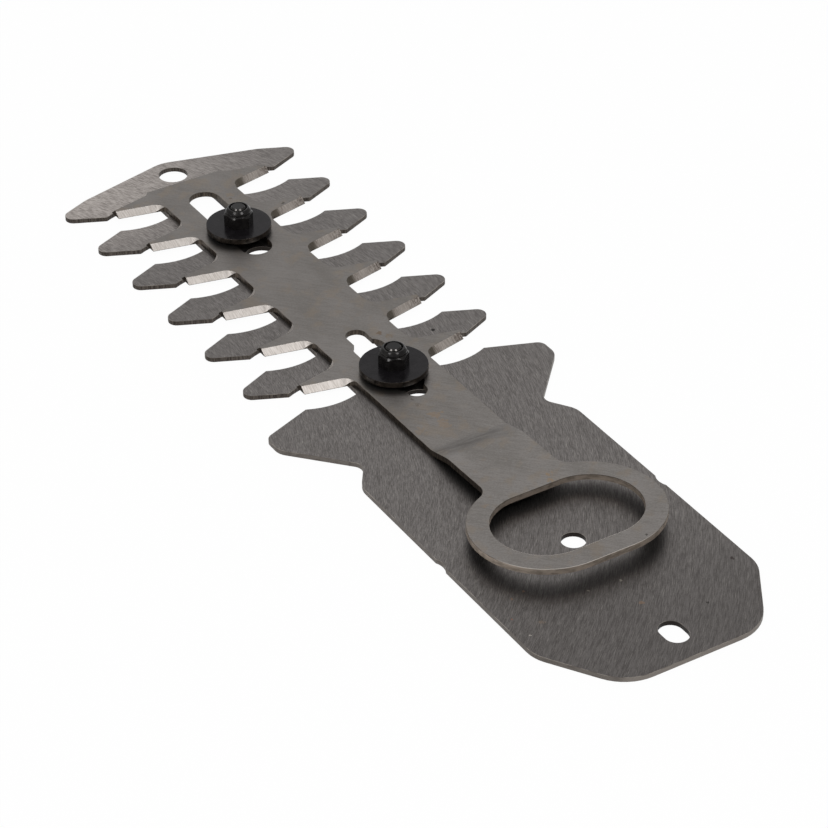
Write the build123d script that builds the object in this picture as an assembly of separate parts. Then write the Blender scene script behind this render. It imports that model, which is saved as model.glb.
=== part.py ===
from build123d import *
import math
import os

# Hedge trimmer blade: a fixed toothed plate, a toothed blade that slides on it, and two guide bolts.
# Lengths in millimetres, angles in degrees.
# The underside of the fixed plate is z = 0. The origin is the centre of the round drive hole.
# +Y points to the tip, +X to the right as seen from above with the tip up.

# Teeth of both blades
PITCH = 20.0
TOOTH_PAIRS = 6

# Fixed plate: gaps and teeth
PLATE_T = 1.25
LAST_GAP_Y = 82.85
GAP_ROOT_X = 11.2
GAP_ROOT_HALF = 4.65
GAP_ROOT_R = 1.5
GAP_BELLY_X = 18.0
GAP_BELLY_HALF = 5.95
SHOULDER_X = 25.9
SHOULDER_HALF = 4.15
TOOTH_POINT_X = 38.7
TOOTH_NOSE_R = 2.4

# Fixed plate: the rest of the outline, each corner as it would be without its rounding
APEX_AHEAD_OF_GAP = 22.55
APEX_R = 9.0
FRONT_CORNER_X = 26.9
FRONT_CORNER_R = 12.0
WING_HALF = 40.0
WING_TOP_Y = 73.2
WING_TOP_R = 2.4
WING_BOTTOM_Y = 67.2
WING_BOTTOM_R = 4.5
NECK_HALF = 25.6
NECK_Y = 51.4
NECK_R = 2.8
SIDE_HALF = 30.65
SIDE_TOP_Y = 43.9
SIDE_TOP_R = 6.0
SIDE_BOTTOM_Y = -29.7
SIDE_BOTTOM_R = 9.0
REAR_CORNER_X = 18.4
REAR_CORNER_R = 12.0
REAR_Y = -48.5
NICK_Y = 8.5
NICK_DEPTH = 0.6
NICK_R = 4.3

# Fixed plate: holes
DRIVE_HOLE_D = 6.0
TIP_HOLE_BEHIND_APEX = 7.55
TIP_HOLE_D = 8.0
REAR_SLOT_Y = -39.45
REAR_SLOT_W = 6.0
REAR_SLOT_L = 8.0
WINDOW_HALF = 4.35
WINDOW_START = 7.65
WINDOW_LENGTH = 19.0

# Guide bolts
REAR_BOLT_Y = 79.7
BOLT_SPACING = 4.0 * PITCH
STUD_D = 4.0
STUD_ABOVE_WASHER = 5.25
STUD_END_CHAMFER = 0.35
STUD_HEAD_D = 6.6
STUD_HEAD_T = 0.9
BUSH_D = 7.4
BUSH_H = 2.35
WASHER_D = 17.4
WASHER_T = 1.45
WASHER_EDGE = 0.2
NUT_SIDES = 6
NUT_AF = 7.0
NUT_HEX_H = 3.5
NUT_HEX_EDGE_D = 6.8
NUT_CORNER_ANGLE = 30.0
NUT_H = 5.0
COLLAR_D = 6.8
COLLAR_BEVEL_H = 0.8
COLLAR_BEVEL_W = 0.8
COLLAR_MOUTH_D = 4.6
INSERT_D = 5.4
INSERT_Z = 3.1
INSERT_H = 1.1
FRONT_NUT_TURN = 42.2
REAR_NUT_TURN = 38.7

# Moving blade: body, teeth and their ground bevels
BLADE_T = 1.5
BODY_HALF = 10.7
TOOTH_AHEAD_OF_GAP = 3.75
FRONT_AHEAD_OF_TOOTH = 4.25
TIP_X = 23.3
TIP_HALF = 2.0
FLANK_SLOPE = 0.225
TOOTH_ROOT_R = 2.1
EDGE_LAND = 0.1
BEVEL_RUN = 1.6
GRIND_R = 1.5
GRIND_END_X = 13.8
GRIND_BELOW = 0.35
GRIND_ABOVE = 0.35

# Moving blade: its slots, as lengths ahead of and behind their bolts
SLOT_HALF = 4.28
NARROW_HALF = 2.7
FRONT_SLOT_AHEAD = 23.4
FRONT_SLOT_BEHIND = 13.6
WIDE_AHEAD = 16.45
WIDE_BEHIND = 9.75
NARROW_AHEAD = 21.6
NARROW_BEHIND = 12.7

# Moving blade: joggle and yoke
JOGGLE_START_Y = 46.0
JOGGLE_END_Y = 38.5
JOGGLE_RISE = 1.9
YOKE_TILT = 2.0
BEND_R = 6.0
YOKE_Y = 4.0
YOKE_W = 48.9
YOKE_L = 36.8
YOKE_BAND_SIDE = 5.35
YOKE_BAND_END = 5.8
YOKE_NECK_R = 4.0

# Moving blade: how it lies in the play of its slots, turned about a point on the long axis
BLADE_TURN = 0.38
BLADE_TURN_Y = 145.0

# Fits, and how far a cutting shape runs past what it cuts
THREAD_GAP = 0.05
BUSH_BORE_GAP = 0.1
PRESS_GAP = 0.02
MARGIN = 5.0

# Positions that follow from the sizes above
FRONT_BOLT_Y = REAR_BOLT_Y + BOLT_SPACING
BOLTS_Y = (REAR_BOLT_Y, FRONT_BOLT_Y)
FIRST_GAP_Y = LAST_GAP_Y + (TOOTH_PAIRS - 1) * PITCH
APEX_Y = FIRST_GAP_Y + APEX_AHEAD_OF_GAP
TIP_HOLE_Y = APEX_Y - TIP_HOLE_BEHIND_APEX
FIRST_TOOTH_Y = FIRST_GAP_Y + TOOTH_AHEAD_OF_GAP
BLADE_FRONT_Y = FIRST_TOOTH_Y + FRONT_AHEAD_OF_TOOTH
WASHER_Z = PLATE_T + BUSH_H
WASHER_TOP_Z = WASHER_Z + WASHER_T
STUD_TOP_Z = WASHER_TOP_Z + STUD_ABOVE_WASHER
ARROW_SLOPE = (PITCH / 2 - SHOULDER_HALF) / (TOOTH_POINT_X - SHOULDER_X)
WING_SLOPE = (LAST_GAP_Y - SHOULDER_HALF - WING_TOP_Y) / (WING_HALF - SHOULDER_X)


def both_sides(shape):
    """The shape together with its mirror image across the long axis."""
    return shape + mirror(shape, about=Plane.YZ)


def corner_at(sketch, x, y):
    """The corner of a flat outline that lies nearest to a point."""
    return sketch.vertices().sort_by_distance((x, y, 0))[0]


def rounded(sketch, corners):
    """Round the outline's corners, each (x, y, radius), on both sides of the long axis."""
    for x, y, radius in corners:
        sketch = fillet(corner_at(sketch, x, y), radius)
        if x:
            sketch = fillet(corner_at(sketch, -x, y), radius)
    return sketch


def obround(half_width, low_y, high_y):
    """A flat obround on the long axis, between two Y positions."""
    length = high_y - low_y
    return Pos(0, (low_y + high_y) / 2) * SlotOverall(length, 2 * half_width, rotation=90)


def gap_between_teeth(gap_y, lower_slope):
    """The right-hand gap of the fixed plate at gap_y, from its root to past the tooth points.

    Each flank is a hollow arc up to the shoulder corner, then a straight mouth. The lower side of the
    mouth takes its own slope, because the last gap opens onto the wing.
    """
    reach = TOOTH_POINT_X + MARGIN
    upper = SHOULDER_HALF + ARROW_SLOPE * (reach - SHOULDER_X)
    lower = SHOULDER_HALF + lower_slope * (reach - SHOULDER_X)
    outline = [
        Line((GAP_ROOT_X, -GAP_ROOT_HALF), (GAP_ROOT_X, GAP_ROOT_HALF)),
        ThreePointArc(
            (GAP_ROOT_X, GAP_ROOT_HALF),
            (GAP_BELLY_X, GAP_BELLY_HALF),
            (SHOULDER_X, SHOULDER_HALF),
        ),
        Line((SHOULDER_X, SHOULDER_HALF), (reach, upper)),
        Line((reach, upper), (reach, -lower)),
        Line((reach, -lower), (SHOULDER_X, -SHOULDER_HALF)),
        ThreePointArc(
            (SHOULDER_X, -SHOULDER_HALF),
            (GAP_BELLY_X, -GAP_BELLY_HALF),
            (GAP_ROOT_X, -GAP_ROOT_HALF),
        ),
    ]
    gap = make_face(outline)
    for side in (-1, 1):
        gap = fillet(corner_at(gap, GAP_ROOT_X, side * GAP_ROOT_HALF), GAP_ROOT_R)
    return Pos(0, gap_y) * gap


def plate_outline():
    """The fixed plate seen from above, without its holes."""
    point_y = FIRST_GAP_Y + PITCH / 2
    front_corner_y = point_y + ARROW_SLOPE * (TOOTH_POINT_X - FRONT_CORNER_X)
    half = Polyline(
        (0, APEX_Y),
        (FRONT_CORNER_X, front_corner_y),
        (WING_HALF, point_y - ARROW_SLOPE * (WING_HALF - TOOTH_POINT_X)),
        (WING_HALF, WING_BOTTOM_Y),
        (NECK_HALF, NECK_Y),
        (SIDE_HALF, SIDE_TOP_Y),
        (SIDE_HALF, SIDE_BOTTOM_Y),
        (REAR_CORNER_X, REAR_Y),
        (0, REAR_Y),
        close=True,
    )
    outline = both_sides(make_face(half))
    for number in range(TOOTH_PAIRS):
        last = number == TOOTH_PAIRS - 1
        slope = WING_SLOPE if last else ARROW_SLOPE
        outline -= both_sides(gap_between_teeth(FIRST_GAP_Y - number * PITCH, slope))
    noses = [(TOOTH_POINT_X, point_y - n * PITCH, TOOTH_NOSE_R) for n in range(TOOTH_PAIRS)]
    return rounded(outline, noses + [
        (0, APEX_Y, APEX_R),
        (FRONT_CORNER_X, front_corner_y, FRONT_CORNER_R),
        (WING_HALF, WING_TOP_Y, WING_TOP_R),
        (WING_HALF, WING_BOTTOM_Y, WING_BOTTOM_R),
        (NECK_HALF, NECK_Y, NECK_R),
        (SIDE_HALF, SIDE_TOP_Y, SIDE_TOP_R),
        (SIDE_HALF, SIDE_BOTTOM_Y, SIDE_BOTTOM_R),
        (REAR_CORNER_X, REAR_Y, REAR_CORNER_R),
    ])


def lower_blade():
    """The fixed toothed plate, with its holes, windows, side nicks and the seats of the studs."""
    outline = plate_outline()
    outline -= Circle(DRIVE_HOLE_D / 2)
    outline -= Pos(0, TIP_HOLE_Y) * Circle(TIP_HOLE_D / 2)
    outline -= obround(REAR_SLOT_W / 2, REAR_SLOT_Y - REAR_SLOT_L / 2, REAR_SLOT_Y + REAR_SLOT_L / 2)
    outline -= both_sides(Pos(SIDE_HALF - NICK_DEPTH + NICK_R, NICK_Y) * Circle(NICK_R))
    for bolt_y in BOLTS_Y:
        ahead = bolt_y + WINDOW_START
        behind = bolt_y - WINDOW_START
        outline -= obround(WINDOW_HALF, ahead, ahead + WINDOW_LENGTH)
        outline -= obround(WINDOW_HALF, behind - WINDOW_LENGTH, behind)
        outline -= Pos(0, bolt_y) * Circle(STUD_D / 2 + PRESS_GAP)
    plate = extrude(outline, amount=PLATE_T)
    for bolt_y in BOLTS_Y:
        plate -= Pos(0, bolt_y) * stud_head(PRESS_GAP)
    return plate


def blade_plan():
    """The moving blade seen from above: body, teeth before grinding, arm, yoke and slots."""
    front = BLADE_FRONT_Y
    plan = Pos(0, (front + YOKE_Y) / 2) * Rectangle(2 * BODY_HALF, front - YOKE_Y)
    root_half = TIP_HALF + FLANK_SLOPE * TIP_X
    for number in range(TOOTH_PAIRS):
        tooth = Polyline(
            (0, -root_half),
            (TIP_X, -TIP_HALF),
            (TIP_X, TIP_HALF),
            (0, root_half),
            close=True,
        )
        plan += both_sides(Pos(0, FIRST_TOOTH_Y - number * PITCH) * make_face(tooth))
    plan -= Pos(0, front + MARGIN) * Rectangle(2 * TIP_X, 2 * MARGIN)
    body_half = TIP_HALF + FLANK_SLOPE * (TIP_X - BODY_HALF)
    roots = []
    for number in range(TOOTH_PAIRS):
        tooth_y = FIRST_TOOTH_Y - number * PITCH
        roots += [(BODY_HALF, tooth_y - body_half, TOOTH_ROOT_R)]
        if number:
            roots += [(BODY_HALF, tooth_y + body_half, TOOTH_ROOT_R)]
    plan = rounded(plan, roots)
    straight = (YOKE_W - YOKE_L) / 2
    neck_y = YOKE_Y + math.sqrt((YOKE_L / 2) ** 2 - (BODY_HALF - straight) ** 2)
    plan += Pos(0, YOKE_Y) * SlotOverall(YOKE_W, YOKE_L)
    plan = rounded(plan, [(BODY_HALF, neck_y, YOKE_NECK_R)])
    plan -= Pos(0, YOKE_Y) * SlotOverall(YOKE_W - 2 * YOKE_BAND_SIDE, YOKE_L - 2 * YOKE_BAND_END)
    plan -= obround(SLOT_HALF, FRONT_BOLT_Y - FRONT_SLOT_BEHIND, FRONT_BOLT_Y + FRONT_SLOT_AHEAD)
    plan -= obround(SLOT_HALF, REAR_BOLT_Y - WIDE_BEHIND, REAR_BOLT_Y + WIDE_AHEAD)
    plan -= obround(NARROW_HALF, REAR_BOLT_Y - NARROW_BEHIND, REAR_BOLT_Y + NARROW_AHEAD)
    return plan


def blade_side():
    """The sheet of the moving blade seen from the side, flat, then joggled up and a little tilted."""
    end_y = YOKE_Y - YOKE_L / 2 - MARGIN
    raised = PLATE_T + JOGGLE_RISE
    end_z = raised + (JOGGLE_END_Y - end_y) * math.tan(math.radians(YOKE_TILT))
    underside = FilletPolyline(
        (end_y, end_z),
        (JOGGLE_END_Y, raised),
        (JOGGLE_START_Y, PLATE_T),
        (BLADE_FRONT_Y + MARGIN, PLATE_T),
        radius=BEND_R,
    )
    sheet = make_face(offset(underside, amount=BLADE_T, side=Side.LEFT, closed=True))
    return extrude(Plane.YZ * sheet, amount=YOKE_W, both=True)


def flank_grinding(tooth_y, side):
    """The space a small grinding wheel sweeps along one right-hand flank of a tooth.

    It is an obround that widens upward, so it leaves a flat bevel with a curved run-out at the root.
    """
    angle = math.atan(FLANK_SLOPE)
    flank = TIP_HALF + FLANK_SLOPE * (TIP_X - GRIND_END_X)
    start_x = GRIND_END_X + GRIND_R * math.sin(angle)
    start_y = flank + GRIND_R * math.cos(angle)
    length = (TIP_X + MARGIN - GRIND_END_X) / math.cos(angle)
    centre_x = start_x + length / 2 * math.cos(angle)
    centre_y = start_y - length / 2 * math.sin(angle)
    spread = BEVEL_RUN / (BLADE_T - EDGE_LAND)
    low = GRIND_R - spread * (EDGE_LAND + GRIND_BELOW)
    height = GRIND_BELOW + BLADE_T + GRIND_ABOVE
    wheel = SlotCenterToCenter(length, 2 * low, rotation=-side * math.degrees(angle))
    swept = extrude(wheel, amount=height, taper=-math.degrees(math.atan(spread)))
    return Pos(centre_x, tooth_y + side * centre_y, PLATE_T - GRIND_BELOW) * swept


def upper_blade():
    """The moving blade: one joggled sheet with two ground bevels on every tooth.

    It is built square to the plate and then turned to where it lies in the play of its slots.
    """
    height = PLATE_T + JOGGLE_RISE + BLADE_T + MARGIN
    blade = extrude(blade_plan(), amount=height) & blade_side()
    for number in range(TOOTH_PAIRS):
        for side in (-1, 1):
            blade -= both_sides(flank_grinding(FIRST_TOOTH_Y - number * PITCH, side))
    turn = Pos(0, BLADE_TURN_Y) * Rot(0, 0, BLADE_TURN) * Pos(0, -BLADE_TURN_Y)
    return turn * blade


def stud_head(gap):
    """The countersunk head of a stud, or with a gap its seat in the plate."""
    grounded = (Align.CENTER, Align.CENTER, Align.MIN)
    return Cone(STUD_HEAD_D / 2 + gap, STUD_D / 2 + gap, STUD_HEAD_T, align=grounded)


def stud(bolt_y):
    """A threaded stud put through the plate from below, its head flush with the underside."""
    shank = extrude(Circle(STUD_D / 2), amount=STUD_TOP_Z)
    shank = chamfer(shank.edges().sort_by(Axis.Z)[-1], STUD_END_CHAMFER)
    return Pos(0, bolt_y) * (stud_head(0) + shank)


def bush(bolt_y):
    """The guide bush that runs in a slot of the moving blade and holds the washer clear of it."""
    ring = Circle(BUSH_D / 2) - Circle(STUD_D / 2 + BUSH_BORE_GAP)
    return Pos(0, bolt_y, PLATE_T) * extrude(ring, amount=WASHER_Z - PLATE_T)


def washer(bolt_y):
    """A thick guide washer, its upper edge broken."""
    disc = extrude(Circle(WASHER_D / 2), amount=WASHER_T)
    disc = chamfer(disc.edges().sort_by(Axis.Z)[-1], WASHER_EDGE)
    disc -= extrude(Circle(STUD_D / 2 + BUSH_BORE_GAP), amount=WASHER_T)
    return Pos(0, bolt_y, WASHER_Z) * disc


def lock_nut(bolt_y, turn):
    """A hexagon nut with a round bevelled collar, hollowed for its locking ring."""
    hexagon = RegularPolygon(NUT_AF / 2, side_count=NUT_SIDES, major_radius=False)
    corner_r = NUT_AF / 2 / math.cos(math.pi / NUT_SIDES)
    edge_r = NUT_HEX_EDGE_D / 2
    drop = (corner_r - edge_r) * math.tan(math.radians(NUT_CORNER_ANGLE))
    turned = Polyline(
        (0, 0),
        (corner_r, 0),
        (corner_r, NUT_HEX_H - drop),
        (edge_r, NUT_HEX_H),
        (0, NUT_HEX_H),
        close=True,
    )
    body = extrude(hexagon, amount=NUT_HEX_H) & revolve(Plane.XZ * make_face(turned), Axis.Z)
    rim_r = COLLAR_D / 2
    collar = Polyline(
        (0, NUT_HEX_H),
        (rim_r, NUT_HEX_H),
        (rim_r, NUT_H - COLLAR_BEVEL_H),
        (rim_r - COLLAR_BEVEL_W, NUT_H),
        (0, NUT_H),
        close=True,
    )
    nut = body + revolve(Plane.XZ * make_face(collar), Axis.Z)
    nut -= extrude(Circle(STUD_D / 2 + THREAD_GAP), amount=NUT_H)
    nut -= Pos(0, 0, INSERT_Z) * extrude(Circle(INSERT_D / 2 + PRESS_GAP), amount=INSERT_H)
    nut -= Pos(0, 0, INSERT_Z) * extrude(Circle(COLLAR_MOUTH_D / 2), amount=NUT_H)
    return Pos(0, bolt_y, WASHER_TOP_Z) * Rot(0, 0, turn) * nut


def locking_ring(bolt_y):
    """The locking ring inside the collar of a nut."""
    ring = Circle(INSERT_D / 2) - Circle(STUD_D / 2 + THREAD_GAP)
    return Pos(0, bolt_y, WASHER_TOP_Z + INSERT_Z) * extrude(ring, amount=INSERT_H)


def main():
    """Build every sub-part and write one file for each."""
    os.makedirs("parts", exist_ok=True)
    nodes = {"lower_blade": lower_blade(), "upper_blade": upper_blade()}
    bolts = (("front", FRONT_BOLT_Y, FRONT_NUT_TURN), ("rear", REAR_BOLT_Y, REAR_NUT_TURN))
    for name, bolt_y, turn in bolts:
        nodes[name + "_stud"] = stud(bolt_y)
        nodes[name + "_bush"] = bush(bolt_y)
        nodes[name + "_washer"] = washer(bolt_y)
        nodes[name + "_nut"] = lock_nut(bolt_y, turn)
        nodes[name + "_locking_ring"] = locking_ring(bolt_y)
    for name, shape in nodes.items():
        export_step(shape, "parts/" + name + ".step")


main()
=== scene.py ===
"""The look of a hedge trimmer blade.

A fixed toothed plate carries a toothed blade that slides on it under two guide washers. The two sheets
are the frame's own solids with eased edges. The nuts, washers, studs and locking rings are new surfaces.
Lengths are metres, in the frame's axes: +Y to the tip, +Z up, the fixed plate's underside at z = 0.
"""

import logging
import math
from dataclasses import dataclass
from enum import Enum
from typing import Sequence

import bmesh
import bpy
import numpy as np
from mathutils import Matrix, Vector


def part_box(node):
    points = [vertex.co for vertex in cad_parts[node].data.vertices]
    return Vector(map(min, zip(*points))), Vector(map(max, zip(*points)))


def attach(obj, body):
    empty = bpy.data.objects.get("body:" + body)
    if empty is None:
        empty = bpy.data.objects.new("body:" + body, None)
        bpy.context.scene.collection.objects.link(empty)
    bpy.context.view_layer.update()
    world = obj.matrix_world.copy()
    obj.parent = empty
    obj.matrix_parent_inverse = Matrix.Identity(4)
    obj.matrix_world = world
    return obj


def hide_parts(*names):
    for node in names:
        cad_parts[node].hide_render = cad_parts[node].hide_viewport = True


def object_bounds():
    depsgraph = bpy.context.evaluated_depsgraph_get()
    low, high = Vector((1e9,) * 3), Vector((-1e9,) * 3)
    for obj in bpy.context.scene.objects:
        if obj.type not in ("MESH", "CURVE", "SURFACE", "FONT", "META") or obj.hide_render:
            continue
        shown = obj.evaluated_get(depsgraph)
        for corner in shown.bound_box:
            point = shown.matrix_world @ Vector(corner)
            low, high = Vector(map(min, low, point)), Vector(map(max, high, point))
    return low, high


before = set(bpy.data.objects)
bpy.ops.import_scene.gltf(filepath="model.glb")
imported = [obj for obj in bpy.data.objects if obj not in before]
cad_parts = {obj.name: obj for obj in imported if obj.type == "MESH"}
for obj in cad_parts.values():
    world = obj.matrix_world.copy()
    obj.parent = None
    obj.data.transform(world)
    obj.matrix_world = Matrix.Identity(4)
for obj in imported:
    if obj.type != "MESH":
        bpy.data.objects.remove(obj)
CAD_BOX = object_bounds()

MM = 0.001
MERGE = 1e-6
NORMAL_WEIGHT = 80
SPUN_CREASE = 38.0
CORNER_STEPS = 5
LOG = logging.getLogger("hedge_trimmer_blade")

Colour = tuple[float, float, float]
Size = tuple[float, float, float]


class Body(Enum):
    """The two bodies of the frame."""

    PLATE = "plate"
    BLADE = "blade"


class Slot(Enum):
    """The material slots of the record."""

    PLATE_STEEL = "plate_steel"
    BLADE_STEEL = "blade_steel"
    BOLT_STEEL = "bolt_steel"
    BUSH_STEEL = "bush_steel"
    BLACK_OXIDE = "black_oxide"
    RING_PLASTIC = "ring_plastic"


class Area(Enum):
    """The kinds of surface on a stamped sheet, in the order of its material slots."""

    TOP = 0
    UNDERSIDE = 1
    WALL = 2
    EDGE = 3
    GROUND = 4


def srgb(red: int, green: int, blue: int) -> Colour:
    """Turn an 8-bit display colour into the linear colour of a shader."""
    shares = np.array([red, green, blue]) / 255.0
    linear = np.where(shares <= 0.04045, shares / 12.92, ((shares + 0.055) / 1.055) ** 2.4)
    return tuple(float(share) for share in linear)


@dataclass(frozen=True)
class Ramp:
    """A soft step: a value that goes from low to high becomes one that goes from start to end."""

    low: float
    high: float
    start: float = 0.0
    end: float = 1.0


@dataclass(frozen=True)
class Mark:
    """A stain, speck or pit on a sheet: its place and radius in millimetres, and its colour."""

    x: float
    y: float
    radius: float
    colour: Colour
    strength: float = 0.8
    ragged: float = 0.6


class Graph:
    """The nodes of one material, with short ways to add what the finishes share."""

    def __init__(self, name: str) -> None:
        """Start a material with a principled shader on its output."""
        self.material = bpy.data.materials.new(name)
        self.material.use_nodes = True
        self.tree = self.material.node_tree
        self.tree.nodes.clear()
        self.shader = self.add("ShaderNodeBsdfPrincipled")
        self.output = self.add("ShaderNodeOutputMaterial")
        self.link(self.shader.outputs["BSDF"], self.output.inputs["Surface"])
        self.place = self.add("ShaderNodeTexCoord").outputs["Object"]

    def add(self, kind: str) -> bpy.types.Node:
        """Add a node of a kind."""
        return self.tree.nodes.new(kind)

    def link(self, start: bpy.types.NodeSocket, end: bpy.types.NodeSocket) -> None:
        """Join two sockets."""
        self.tree.links.new(start, end)

    def feed(self, socket: bpy.types.NodeSocket, value: object) -> None:
        """Give a socket a link or a plain value."""
        if isinstance(value, bpy.types.NodeSocket):
            self.link(value, socket)
        elif isinstance(value, tuple) and socket.type == "RGBA":
            socket.default_value = (*value, 1.0)
        else:
            socket.default_value = value

    def noise(
        self, size: float | Size, turn: float = 0.0, detail: float = 2.0,
        place: bpy.types.NodeSocket | None = None,
    ) -> bpy.types.NodeSocket:
        """Add noise whose blots have a length along each axis of a turned grid.

        Args:
            size: the blot's length along the grid's three axes, in metres. One number serves for all.
            turn: the grid's turn about Z, in degrees.
            detail: how many finer layers lie on the blots.
            place: the place to read the noise at. None takes the place on the piece.

        Returns:
            The noise's factor, about 0.5 on average.
        """
        mapping = self.add("ShaderNodeMapping")
        mapping.vector_type = "TEXTURE"
        mapping.inputs["Rotation"].default_value = (0.0, 0.0, math.radians(turn))
        mapping.inputs["Scale"].default_value = (size,) * 3 if isinstance(size, float) else size
        self.link(place or self.place, mapping.inputs["Vector"])
        texture = self.add("ShaderNodeTexNoise")
        texture.inputs["Scale"].default_value = 1.0
        texture.inputs["Detail"].default_value = detail
        self.link(mapping.outputs["Vector"], texture.inputs["Vector"])
        return texture.outputs["Fac"]

    def spread(self, value: object, ramp: Ramp) -> bpy.types.NodeSocket:
        """Map a link or number by a soft step."""
        node = self.add("ShaderNodeMapRange")
        node.interpolation_type = "SMOOTHSTEP"
        self.feed(node.inputs["Value"], value)
        node.inputs["From Min"].default_value = ramp.low
        node.inputs["From Max"].default_value = ramp.high
        node.inputs["To Min"].default_value = ramp.start
        node.inputs["To Max"].default_value = ramp.end
        return node.outputs["Result"]

    def combine(self, operation: str, first: object, second: object) -> bpy.types.NodeSocket:
        """Join two numbers by an operation such as ADD or MULTIPLY."""
        node = self.add("ShaderNodeMath")
        node.operation = operation
        self.feed(node.inputs[0], first)
        self.feed(node.inputs[1], second)
        return node.outputs["Value"]

    def product(self, first: object, *others: object) -> bpy.types.NodeSocket:
        """Multiply numbers with each other, from the first to the last."""
        result = first
        for other in others:
            result = self.combine("MULTIPLY", result, other)
        return result

    def mixture(self, *parts: tuple[bpy.types.NodeSocket, float]) -> bpy.types.NodeSocket:
        """Add up patterns, each times its share."""
        first, *others = [self.product(pattern, share) for pattern, share in parts]
        result = first
        for other in others:
            result = self.combine("ADD", result, other)
        return result

    def blend(self, share: object, first: object, second: object) -> bpy.types.NodeSocket:
        """Mix two colours: the first at share 0, the second at share 1."""
        node = self.add("ShaderNodeMix")
        node.data_type = "RGBA"
        self.feed(node.inputs["Factor"], share)
        self.feed(node.inputs["A"], first)
        self.feed(node.inputs["B"], second)
        return node.outputs["Result"]

    def axis(self, letter: str) -> bpy.types.NodeSocket:
        """One coordinate of the place on the piece."""
        node = self.add("ShaderNodeSeparateXYZ")
        self.link(self.place, node.inputs["Vector"])
        return node.outputs[letter]

    def polar(self, centre: Sequence[float], reach: float) -> bpy.types.NodeSocket:
        """The place in polar coordinates about a vertical axis.

        It is (reach times the angle about the centre, the distance from the centre, the height), so a
        grid on it runs along arcs.

        Args:
            centre: the axis's X and Y, in metres.
            reach: the distance at which a length along the arcs is true, in metres.

        Returns:
            The place as a vector.
        """
        away = self.add("ShaderNodeVectorMath")
        away.operation = "SUBTRACT"
        away.inputs[1].default_value = (centre[0], centre[1], 0.0)
        self.link(self.place, away.inputs[0])
        parts = self.add("ShaderNodeSeparateXYZ")
        self.link(away.outputs["Vector"], parts.inputs["Vector"])
        across, along = parts.outputs["X"], parts.outputs["Y"]
        angle = self.combine("ARCTAN2", along, across)
        squares = self.combine("ADD", self.combine("POWER", across, 2.0), self.combine("POWER", along, 2.0))
        joined = self.add("ShaderNodeCombineXYZ")
        self.link(self.product(angle, reach), joined.inputs["X"])
        self.link(self.combine("POWER", squares, 0.5), joined.inputs["Y"])
        self.link(parts.outputs["Z"], joined.inputs["Z"])
        return joined.outputs["Vector"]

    def spot(self, centre: Sequence[float], radius: float, ragged: float = 0.0) -> bpy.types.NodeSocket:
        """Add a soft round spot on the sheet.

        The spot is 1 within about half its radius of its centre and falls to 0 at its radius. A ragged
        spot's distance is pushed in and out by noise.

        Args:
            centre: the spot's X and Y, in metres.
            radius: its radius, in metres.
            ragged: how far noise moves its outline, as a share of the radius.

        Returns:
            The spot's mask.
        """
        flat = self.add("ShaderNodeVectorMath")
        flat.operation = "MULTIPLY"
        flat.inputs[1].default_value = (1.0, 1.0, 0.0)
        self.link(self.place, flat.inputs[0])
        gap = self.add("ShaderNodeVectorMath")
        gap.operation = "DISTANCE"
        gap.inputs[1].default_value = (centre[0], centre[1], 0.0)
        self.link(flat.outputs["Vector"], gap.inputs[0])
        distance = gap.outputs["Value"]
        if ragged:
            push = self.spread(self.noise(radius), Ramp(0.3, 0.7, -ragged * radius, ragged * radius))
            distance = self.combine("ADD", distance, push)
        return self.spread(distance, Ramp(0.5 * radius, radius, 1.0, 0.0))

    def marked(self, colour: bpy.types.NodeSocket, marks: Sequence[Mark]) -> bpy.types.NodeSocket:
        """Lay marks over a colour."""
        for mark in marks:
            mask = self.spot((mark.x * MM, mark.y * MM), mark.radius * MM, mark.ragged)
            colour = self.blend(self.product(mask, mark.strength), colour, mark.colour)
        return colour

    def raise_by(self, height: bpy.types.NodeSocket, depth: float) -> None:
        """Let a height pattern tilt the shading, over a depth in metres."""
        bump = self.add("ShaderNodeBump")
        bump.inputs["Distance"].default_value = depth
        bump.inputs["Strength"].default_value = 1.0
        self.link(height, bump.inputs["Height"])
        self.link(bump.outputs["Normal"], self.shader.inputs["Normal"])

    def set(self, **values: object) -> bpy.types.Material:
        """Feed the shader's sockets, named with underscores for spaces, and give the material."""
        for name, value in values.items():
            self.feed(self.shader.inputs[name.replace("_", " ")], value)
        return self.material


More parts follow.
